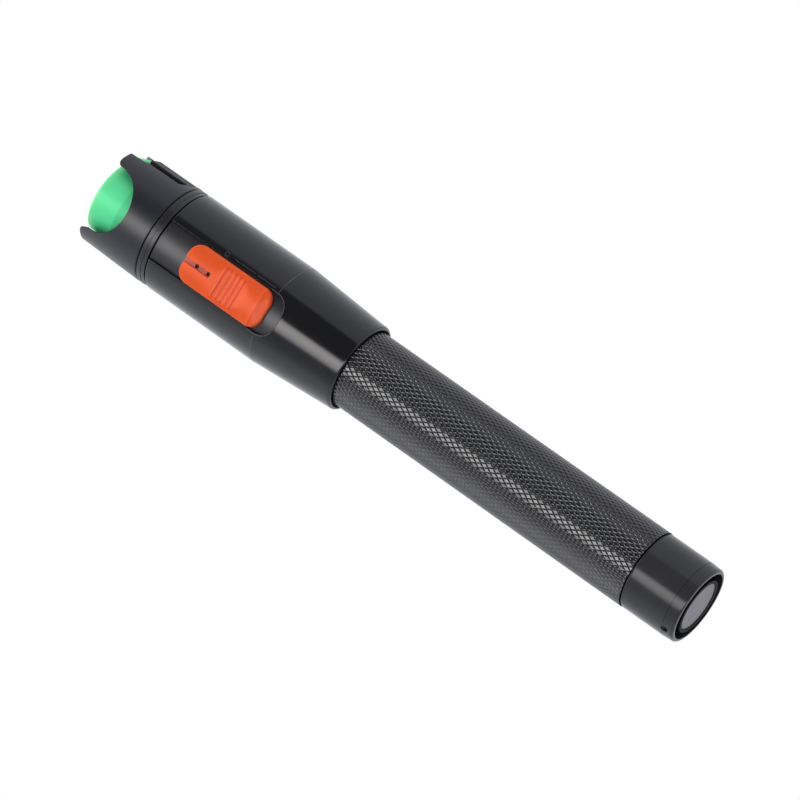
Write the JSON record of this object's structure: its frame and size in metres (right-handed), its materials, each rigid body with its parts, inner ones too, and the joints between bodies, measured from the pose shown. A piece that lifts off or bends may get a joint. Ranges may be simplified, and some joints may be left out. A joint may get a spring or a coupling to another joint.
{
  "type": "visual fault locator",
  "caption": "Pen-type visual fault locator: knurled battery tube, conical body with orange slide switch, scalloped head with hinged green dust cap over the ferrule port.",
  "frame": {"origin": "middle of the tail face, where the pen stands", "axes": "+Z along the pen's axis towards the optical port, -Y through the middle of the slide button, +X through the dust cap's hinge"},
  "size_m": [0.026, 0.0271, 0.1756],
  "materials": {
    "anodised_black": "satin black anodising over turned and knurled aluminium",
    "satin_disc": "fine satin grey metal",
    "rubber_black": "smooth black rubber",
    "spring_steel": "bright drawn steel",
    "cell_jacket": "plain dark shrink sleeve",
    "body_plastic": "semi-gloss black moulded plastic",
    "orange_plastic": "orange moulded plastic, soft sheen",
    "head_plastic": "satin black moulded plastic",
    "green_plastic": "light green soft moulded plastic",
    "nickel": "nickel plate",
    "zirconia": "polished white zirconia",
    "brass": "turned brass",
    "optical_glass": "clear coated glass",
    "gold_can": "gold flash on steel",
    "bare_aluminium": "bare turned aluminium",
    "insulator": "glass-filled plastic",
    "board_green": "green solder mask",
    "switch_black": "black moulded plastic"
  },
  "bodies": {
    "housing": {"battery_tube": "anodised_black", "tail_seal": "rubber_black", "battery_rear": "cell_jacket", "battery_front": "cell_jacket", "body_shell": "body_plastic", "track_panel": "body_plastic", "spacer_ring": "body_plastic", "head_shell": "head_plastic", "hinge_bracket": "head_plastic", "hinge_pin": "spring_steel", "ferrule_adapter": "nickel", "ceramic_sleeve": "zirconia", "laser_module": "brass", "focus_lens": "optical_glass", "laser_diode": "gold_can", "heat_sink": "bare_aluminium", "contact_carrier": "insulator", "front_contact": "brass", "circuit_board": "board_green", "slide_switch": "bare_aluminium", "driver_chip": "switch_black", "storage_capacitor": "bare_aluminium"},
    "cap": {"dust_cap": "green_plastic"},
    "switch": {"slide_button": "orange_plastic", "button_stem": "orange_plastic", "switch_knob": "switch_black"},
    "spring": {"tail_spring": "spring_steel"},
    "tail": {"tail_cap": "anodised_black", "end_disc": "satin_disc"}
  },
  "joints": [
    {"name": "cap_flip", "type": "hinge", "parent": "housing", "child": "cap", "pos_m": [0.0103, 0, 0.1736], "axis": [0, 1, 0], "range_deg": [0, 150]},
    {"name": "switch_slide", "type": "slide", "parent": "housing", "child": "switch", "axis": [0, 0, -1], "range_m": [0, 0.003]},
    {"name": "tail_travel", "type": "slide", "parent": "housing", "child": "spring", "axis": [0, 0, -1], "range_m": [0, 0.0061]},
    {"name": "tail_turn", "type": "hinge", "parent": "spring", "child": "tail", "pos_m": [0, 0, 0.01], "axis": [0, 0, -1], "range_deg": [0, 2160]}
  ],
  "couplings": [
    {"joint": "tail_travel", "follows": "tail_turn", "m_per_rad": 0.00015915}
  ]
}
